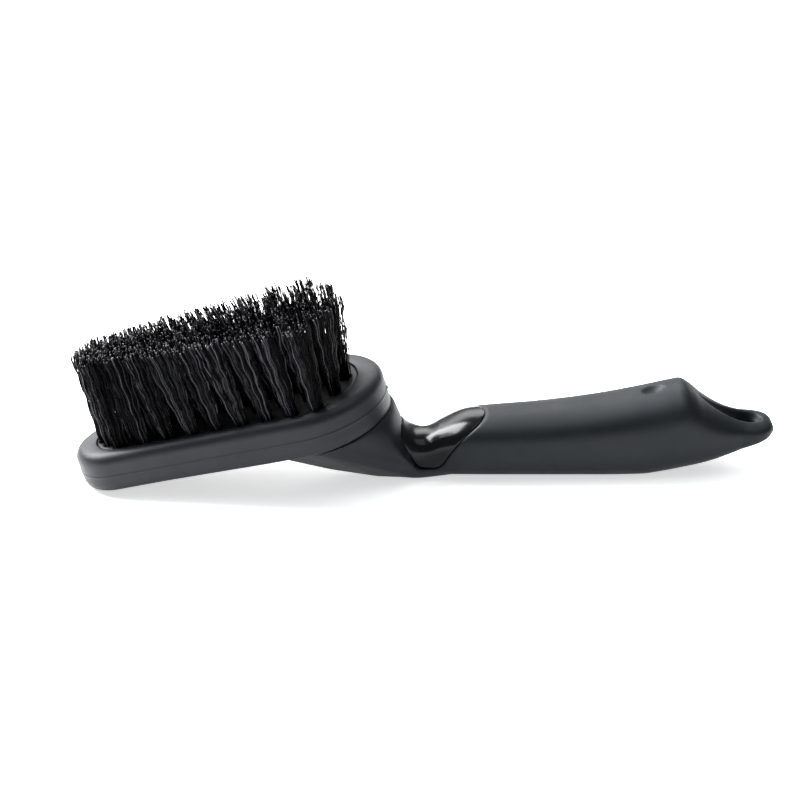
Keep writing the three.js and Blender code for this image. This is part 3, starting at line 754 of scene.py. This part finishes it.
def bristleTree():
    tree = bpy.data.node_groups.new("crimped tufts", "GeometryNodeTree")
    face = tree.interface
    face.new_socket("Geometry", in_out="OUTPUT", socket_type="NodeSocketGeometry")
    face.new_socket("Geometry", in_out="INPUT", socket_type="NodeSocketGeometry")
    for name, kind in (
            ("Filaments", "Int"), ("Segments", "Int"), ("Root radius", "Float"), ("Tip along", "Float"),
            ("Thickness", "Float"), ("Crimp wave", "Float"), ("Crimp height", "Float"), ("Bow", "Float"),
            ("Stray", "Float"), ("Seed", "Int"), ("Nylon", "Material")):
        face.new_socket(name, in_out="INPUT", socket_type="NodeSocket" + kind)
    given = tree.nodes.new("NodeGroupInput").outputs

    point = {"data_type": "FLOAT_VECTOR", "domain": "POINT"}
    number = {"data_type": "FLOAT", "domain": "POINT"}
    named = "GeometryNodeInputNamedAttribute"
    stored = "GeometryNodeStoreNamedAttribute"
    draw = "FunctionNodeRandomValue"
    scalar = "ShaderNodeMath"
    vector = "ShaderNodeVectorMath"
    vectorKind = {"data_type": "FLOAT_VECTOR"}
    add, multiply, sine, cosine, power, fused = (
        {"operation": word} for word in ("ADD", "MULTIPLY", "SINE", "COSINE", "POWER", "MULTIPLY_ADD"))
    scale = {"operation": "SCALE"}
    # Each line is a node: its name here, its kind, its settings and its inputs. A text input names an
    # earlier node or an input of the group, a colon and a number pick one of a node's outputs, and an equals
    # sign marks plain text.
    recipe = [
        # one point for each filament, which keeps its place in the hole and its own habits
        ("copies", "GeometryNodeDuplicateElements", {"domain": "POINT"},
         {"Geometry": "Geometry", "Amount": "Filaments"}),
        ("discSeed", scalar, add, {0: "Seed", 1: 0.0}),
        ("discDraw", draw, vectorKind, {"Min": (0, 0, 0), "Max": (1, 1, 1), "Seed": "discSeed"}),
        ("spot", "ShaderNodeSeparateXYZ", {}, {0: "discDraw"}),
        ("radius", scalar, {"operation": "SQRT"}, {0: "spot"}),
        ("turn", scalar, multiply, {0: "spot:1", 1: 2 * math.pi}),
        ("turnCosine", scalar, cosine, {0: "turn"}),
        ("turnSine", scalar, sine, {0: "turn"}),
        ("discX", scalar, multiply, {0: "radius", 1: "turnCosine"}),
        ("discY", scalar, multiply, {0: "radius", 1: "turnSine"}),
        ("disc", "ShaderNodeCombineXYZ", {}, {0: "discX", 1: "discY"}),
        ("turnsSeed", scalar, add, {0: "Seed", 1: 1.0}),
        ("turnsDraw", draw, vectorKind,
         {"Min": tuft["turnsLow"], "Max": tuft["turnsHigh"], "Seed": "turnsSeed"}),
        ("habitsSeed", scalar, add, {0: "Seed", 1: 2.0}),
        ("habitsDraw", draw, vectorKind, {"Min": (0, 0, 0), "Max": (1, 1, 1), "Seed": "habitsSeed"}),
        ("position", "GeometryNodeInputPosition", {}, {}),
        ("withRoot", stored, point, {"Geometry": "copies", "Name": "=rootPlace", "Value": "position"}),
        ("withDisc", stored, point, {"Geometry": "withRoot", "Name": "=disc", "Value": "disc"}),
        ("withTurns", stored, point, {"Geometry": "withDisc", "Name": "=turns", "Value": "turnsDraw"}),
        ("withHabits", stored, point, {"Geometry": "withTurns", "Name": "=habits", "Value": "habitsDraw"}),
        # a random number for each strand, which the nylon turns into its painted highlight strands and
        # painted tip glints
        ("points", stored, number, {"Geometry": "withHabits", "Name": "=strandTone", "Value": "spot:2"}),
        # a straight line of many short parts at each point
        ("line", "GeometryNodeCurvePrimitiveLine", {}, {}),
        ("count", scalar, add, {0: "Segments", 1: 1.0}),
        ("fineLine", "GeometryNodeResampleCurve", {}, {"Curve": "line", "Count": "count"}),
        ("instances", "GeometryNodeInstanceOnPoints", {}, {"Points": "points", "Instance": "fineLine"}),
        ("straight", "GeometryNodeRealizeInstances", {}, {"Geometry": "instances"}),
        ("t", "GeometryNodeSplineParameter", {}, {}),
        ("ownTurns", named, vectorKind, {"Name": "=turns"}),
        ("turns", "ShaderNodeSeparateXYZ", {}, {0: "ownTurns"}),
        ("ownHabits", named, vectorKind, {"Name": "=habits"}),
        ("habits", "ShaderNodeSeparateXYZ", {}, {0: "ownHabits"}),
        ("reach", named, vectorKind, {"Name": "=reach"}),
        ("across", named, {"data_type": "FLOAT"}, {"Name": "=across"}),
        ("ownDisc", named, vectorKind, {"Name": "=disc"}),
        ("rootPlace", named, vectorKind, {"Name": "=rootPlace"}),
        ("length", vector, {"operation": "LENGTH"}, {0: "reach"}),
        # the fan, from the round root to the oval tip
        ("fan", scalar, power, {0: "t", 1: tuft["fanPower"]}),
        ("unfanned", scalar, {"operation": "SUBTRACT"}, {0: 1.0, 1: "fan"}),
        ("rootSize", scalar, multiply, {0: "Root radius", 1: "unfanned"}),
        ("rootSpread", vector, scale, {0: "ownDisc", "Scale": "rootSize"}),
        ("tipSize", "ShaderNodeCombineXYZ", {}, {0: "Tip along", 1: "across"}),
        ("tipOval", vector, multiply, {0: "ownDisc", 1: "tipSize"}),
        ("tipSpread", vector, scale, {0: "tipOval", "Scale": "fan"}),
        ("trim", scalar, fused, {0: "habits", 1: tuft["trimSpread"], 2: tuft["shortest"]}),
        ("trimmed", scalar, multiply, {0: "t", 1: "trim"}),
        ("rise", vector, scale, {0: "reach", "Scale": "trimmed"}),
        # the bow, slight in most filaments and large in a few strays
        ("rare", scalar, power, {0: "habits:1", 1: float(tuft["strayPower"])}),
        ("slight", scalar, multiply, {0: "habits:1", 1: "Bow"}),
        ("bend", scalar, fused, {0: "rare", 1: "Stray", 2: "slight"}),
        ("bowX", scalar, cosine, {0: "turns:1"}),
        ("bowSine", scalar, sine, {0: "turns:1"}),
        ("bowY", scalar, multiply, {0: "bowSine", 1: tuft["bowAcross"]}),
        ("bowWay", "ShaderNodeCombineXYZ", {}, {0: "bowX", 1: "bowY"}),
        ("bowRise", scalar, power, {0: "t", 1: tuft["bowPower"]}),
        ("bowSize", scalar, multiply, {0: "bend", 1: "bowRise"}),
        ("bow", vector, scale, {0: "bowWay", "Scale": "bowSize"}),
        # the crimp, a wave of fixed length that grows in from the root
        ("waves", scalar, {"operation": "DIVIDE"}, {0: "length", 1: "Crimp wave"}),
        ("wave", scalar, multiply, {0: "t", 1: "waves"}),
        ("angle", scalar, fused, {0: "wave", 1: 2 * math.pi, 2: "turns"}),
        ("angleSine", scalar, sine, {0: "angle"}),
        ("fullSwing", scalar, multiply, {0: "angleSine", 1: "Crimp height"}),
        ("early", scalar, multiply, {0: "t", 1: float(tuft["crimpStart"])}),
        ("eased", scalar, {"operation": "MINIMUM"}, {0: "early", 1: 1.0}),
        ("swing", scalar, multiply, {0: "fullSwing", 1: "eased"}),
        ("crimpX", scalar, cosine, {0: "turns:2"}),
        ("crimpY", scalar, sine, {0: "turns:2"}),
        ("crimpWay", "ShaderNodeCombineXYZ", {}, {0: "crimpX", 1: "crimpY"}),
        ("crimp", vector, scale, {0: "crimpWay", "Scale": "swing"}),
        ("risen", vector, add, {0: "rootPlace", 1: "rise"}),
        ("rooted", vector, add, {0: "risen", 1: "rootSpread"}),
        ("fanned", vector, add, {0: "rooted", 1: "tipSpread"}),
        ("bowed", vector, add, {0: "fanned", 1: "bow"}),
        ("place", vector, add, {0: "bowed", 1: "crimp"}),
        ("strands", "GeometryNodeSetPosition", {}, {"Geometry": "straight", "Position": "place"}),
        ("toned", stored, number, {"Geometry": "strands", "Name": "=alongStrand", "Value": "t"}),
        # a three-sided closed filament round each line
        ("rim", "GeometryNodeCurvePrimitiveCircle", {"mode": "RADIUS"},
         {"Resolution": 3, "Radius": "Thickness"}),
        ("solid", "GeometryNodeCurveToMesh", {},
         {"Curve": "toned", "Profile Curve": "rim", "Fill Caps": True}),
        ("plain", "GeometryNodeRealizeInstances", {}, {"Geometry": "solid"}),
        ("finished", "GeometryNodeSetMaterial", {}, {"Geometry": "plain", "Material": "Nylon"}),
    ]
    made = {socket.name: [socket] for socket in given if socket.name}
    for name, kind, settings, inputs in recipe:
        linked = {}
        for key, value in inputs.items():
            if isinstance(value, str) and value.startswith("="):
                linked[key] = value[1:]
            elif isinstance(value, str):
                source, _, which = value.partition(":")
                linked[key] = made[source][int(which or 0)]
            else:
                linked[key] = value
        node = addNode(tree, kind, settings, linked)
        made[name] = [socket for socket in node.outputs if socket.enabled]
    addNode(tree, "NodeGroupOutput", inputs={0: made["finished"][0]})
    return tree


def grown(name, places, tree, settings):
    # runs a tree on one vertex for each tuft and gives back the plain mesh that it makes
    seeds = bpy.data.meshes.new(name + "Seeds")
    seeds.from_pydata([p["root"] for p in places], [], [])
    reach = seeds.attributes.new("reach", "FLOAT_VECTOR", "POINT")
    reach.data.foreach_set("vector", [v for p in places for v in p["reach"]])
    across = seeds.attributes.new("across", "FLOAT", "POINT")
    across.data.foreach_set("value", [p["across"] for p in places])
    host = bpy.data.objects.new(name + "Host", seeds)
    bpy.context.scene.collection.objects.link(host)
    modifier = host.modifiers.new("grow", "NODES")
    modifier.node_group = tree
    for item in tree.interface.items_tree:
        if item.in_out == "INPUT" and item.name in settings:
            modifier[item.identifier] = settings[item.name]
    bpy.context.view_layer.update()
    made = bpy.data.meshes.new_from_object(host.evaluated_get(bpy.context.evaluated_depsgraph_get()))
    host.modifiers.remove(modifier)
    bpy.data.objects.remove(host)
    bpy.data.meshes.remove(seeds)
    return made


tuftList = tuftPlaces()

block = {
    "wall": 4.1,  # of the bumper, outside the block's flange
    "flange": (2.4, 12.6),
    "island": (5.15, 8.75),  # inset of the bed that the tufts stand in, at the sides and at the ends
    "bed": 14.7,
    "bedFoot": 3,
    "panel": 7.1,  # inset of the panel on the underside
    "panelHeights": (0.1, 8),
    "hole": (2.3, 9),  # radius and depth
    "pegs": (32, 47),
    "pegSize": (3.5, 6),  # radius, and how far they stand out past the panel
    "pegMiddle": 2,
    "edge": 0.5,
    "outlineEvery": 2,
}


def blockField(u, v, z):
    every = block["outlineEvery"]

    def plate(ring, low, high):
        flat = outlineField(ring[:, :2], u, v)[:, :, None]
        return smoothMax(flat + 0 * z, np.abs(z - (low + high) / 2) - (high - low) / 2, block["edge"])

    field = plate(headRing(block["wall"], 0)[::every], *block["flange"])
    sideInset, endInset = block["island"]
    island = headRing(sideInset, 0, endInset)[::every]
    field = np.minimum(field, plate(island, block["bedFoot"], block["bed"]))
    field = np.minimum(field, plate(headRing(block["panel"], 0)[::every], *block["panelHeights"]))
    across, up = v[None, :, None], z
    middle = block["pegMiddle"]
    for peg in block["pegs"]:
        post = np.hypot(u[:, None, None] - peg, across) - block["pegSize"][0]
        field = np.minimum(field, np.maximum(post, np.abs(up - middle) - middle - block["pegSize"][1]))
    radius, depth = block["hole"]
    for place in tuftList:
        pu, pv, _ = place["root"]
        bore = np.hypot(u[:, None, None] - pu, across - pv) - radius
        field = smoothMax(field, -np.maximum(bore, head["thickness"] - depth - up), block["edge"])
    return field


blockLow, blockHigh = (-54, -29.4, -7.8), (66, 29.5, 17)
blockU, blockV, blockZ = (np.arange(low, high, gridStep) for low, high in zip(blockLow, blockHigh))
blockShape = fieldMesh(blockField(blockU, blockV, blockZ[None, None, :]), blockLow, relax=2)
tuftBlock = makeObject("tuftBlock", meshFrom(*blockShape, headToTable), blockPlastic)
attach(tuftBlock, "root")
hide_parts("head_block")
print("block made", len(tuftBlock.data.polygons), "faces")


def anchorTree():
    # one flat staple across the bottom of each hole
    tree = bpy.data.node_groups.new("wire anchors", "GeometryNodeTree")
    face = tree.interface
    face.new_socket("Geometry", in_out="OUTPUT", socket_type="NodeSocketGeometry")
    face.new_socket("Geometry", in_out="INPUT", socket_type="NodeSocketGeometry")
    for name, kind in (("Size", "Vector"), ("Depth", "Float"), ("Wire", "Material")):
        face.new_socket(name, in_out="INPUT", socket_type="NodeSocket" + kind)
    given = tree.nodes.new("NodeGroupInput").outputs
    strip = addNode(tree, "GeometryNodeMeshCube", inputs={"Size": given["Size"]}).outputs["Mesh"]
    down = addNode(tree, "ShaderNodeCombineXYZ", inputs={2: given["Depth"]}).outputs[0]
    strip = addNode(tree, "GeometryNodeTransform", inputs={"Geometry": strip, "Translation": down}).outputs[0]
    strips = addNode(tree, "GeometryNodeInstanceOnPoints", inputs={
        "Points": given["Geometry"], "Instance": strip}).outputs[0]
    strips = addNode(tree, "GeometryNodeRealizeInstances", inputs={"Geometry": strips}).outputs[0]
    strips = addNode(tree, "GeometryNodeSetMaterial", inputs={
        "Geometry": strips, "Material": given["Wire"]}).outputs[0]
    addNode(tree, "NodeGroupOutput", inputs={0: strips})
    return tree


tuftTree = bristleTree()
for row in range(len(tuft["rows"])):
    places = [p for p in tuftList if p["row"] == row]
    mesh = grown(f"row{row + 1}", places, tuftTree, {
        "Filaments": tuft["filaments"], "Segments": tuft["segments"], "Root radius": tuft["rootRadius"],
        "Tip along": tuft["tipAlong"], "Thickness": tuft["thickness"], "Crimp wave": tuft["crimpWave"],
        "Crimp height": tuft["crimpHeight"], "Bow": tuft["bow"], "Stray": tuft["stray"],
        "Seed": tuft["seed"] + 10 * row, "Nylon": bristleNylon})
    mesh.transform(headToTable)
    mesh.shade_smooth()
    bristles = makeObject(f"bristlesRow{row + 1}", mesh, bristleNylon)
    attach(bristles, "root")
    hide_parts(*[f"tuft_row{row + 1}_{p['number'] + 1:02d}" for p in places])
    print(bristles.name, len(mesh.polygons), "faces")


anchorSettings = {"Size": (0.4, 4.2, 2.2), "Depth": -6.7, "Wire": anchorWire}
anchorMesh = grown("anchors", tuftList, anchorTree(), anchorSettings)
anchorMesh.transform(headToTable)
anchors = makeObject("tuftAnchors", anchorMesh, anchorWire)
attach(anchors, "root")
print("anchors made")


# camera, light and floor

view = {"elevation": 25, "roll": -1.55, "target": (-8.4, 0, 28.9), "distance": 700, "width": 288}
elevation, roll = math.radians(view["elevation"]), math.radians(view["roll"])
forward = Vector((0, math.cos(elevation), -math.sin(elevation)))
upward = Vector((0, math.sin(elevation), math.cos(elevation)))
right = Vector((1, 0, 0))
across = right * math.cos(roll) + upward * math.sin(roll)
above = upward * math.cos(roll) - right * math.sin(roll)
cameraData = bpy.data.cameras.new("camera")
cameraData.sensor_width = 36
cameraData.lens = cameraData.sensor_width * view["distance"] / view["width"]
camera = bpy.data.objects.new("camera", cameraData)
bpy.context.scene.collection.objects.link(camera)
turned = Matrix((across, above, -forward)).transposed().to_4x4()
camera.matrix_world = Matrix.Translation((Vector(view["target"]) - forward * view["distance"]) * mm) @ turned
bpy.context.scene.camera = camera

lamps = {
    "key": {"place": (-0.56, 0.36, 0.66), "size": (0.7, 0.6), "power": 40},
    "overhead": {"place": (0.25, -0.05, 0.9), "size": (0.8, 0.6), "power": 3},
    "rear": {"place": (-0.05, 0.9, 0.5), "size": (1.0, 0.3), "power": 5},
}
for name, lamp in lamps.items():
    data = bpy.data.lights.new(name, "AREA")
    data.shape = "RECTANGLE"
    data.size, data.size_y = lamp["size"]
    data.energy = lamp["power"]
    lampObject = bpy.data.objects.new(name, data)
    bpy.context.scene.collection.objects.link(lampObject)
    lampObject.location = lamp["place"]
    lampObject.rotation_euler = (-Vector(lamp["place"])).to_track_quat("-Z", "Y").to_euler()
world = bpy.data.worlds.new("white room")
bpy.context.scene.world = world
world.use_nodes = True
room = {"colour": (0.92, 0.97, 1, 1), "strength": 0.3}
background = world.node_tree.nodes["Background"]
background.inputs["Color"].default_value = room["colour"]
background.inputs["Strength"].default_value = room["strength"]
bpy.context.scene.view_settings.view_transform = "Standard"

sweep = {"reach": 4, "paper": "#fbfbfb", "roughness": 0.9, "glow": "#ffffff", "glowStrength": 0.6}
floorMaterial = bpy.data.materials.new("white paper sweep")
floorMaterial.use_nodes = True
floorShader = floorMaterial.node_tree.nodes["Principled BSDF"]
floorShader.inputs["Base Color"].default_value = colour(sweep["paper"])
floorShader.inputs["Roughness"].default_value = sweep["roughness"]
# a lit sweep, so shadows stay faint
floorShader.inputs["Emission Color"].default_value = colour(sweep["glow"])
floorShader.inputs["Emission Strength"].default_value = sweep["glowStrength"]
floorShape = bmesh.new()
bmesh.ops.create_grid(floorShape, x_segments=2, y_segments=2, size=sweep["reach"])
floorMesh = bpy.data.meshes.new("floor")
floorShape.to_mesh(floorMesh)
floorShape.free()
floor = makeObject("floor", floorMesh, floorMaterial)
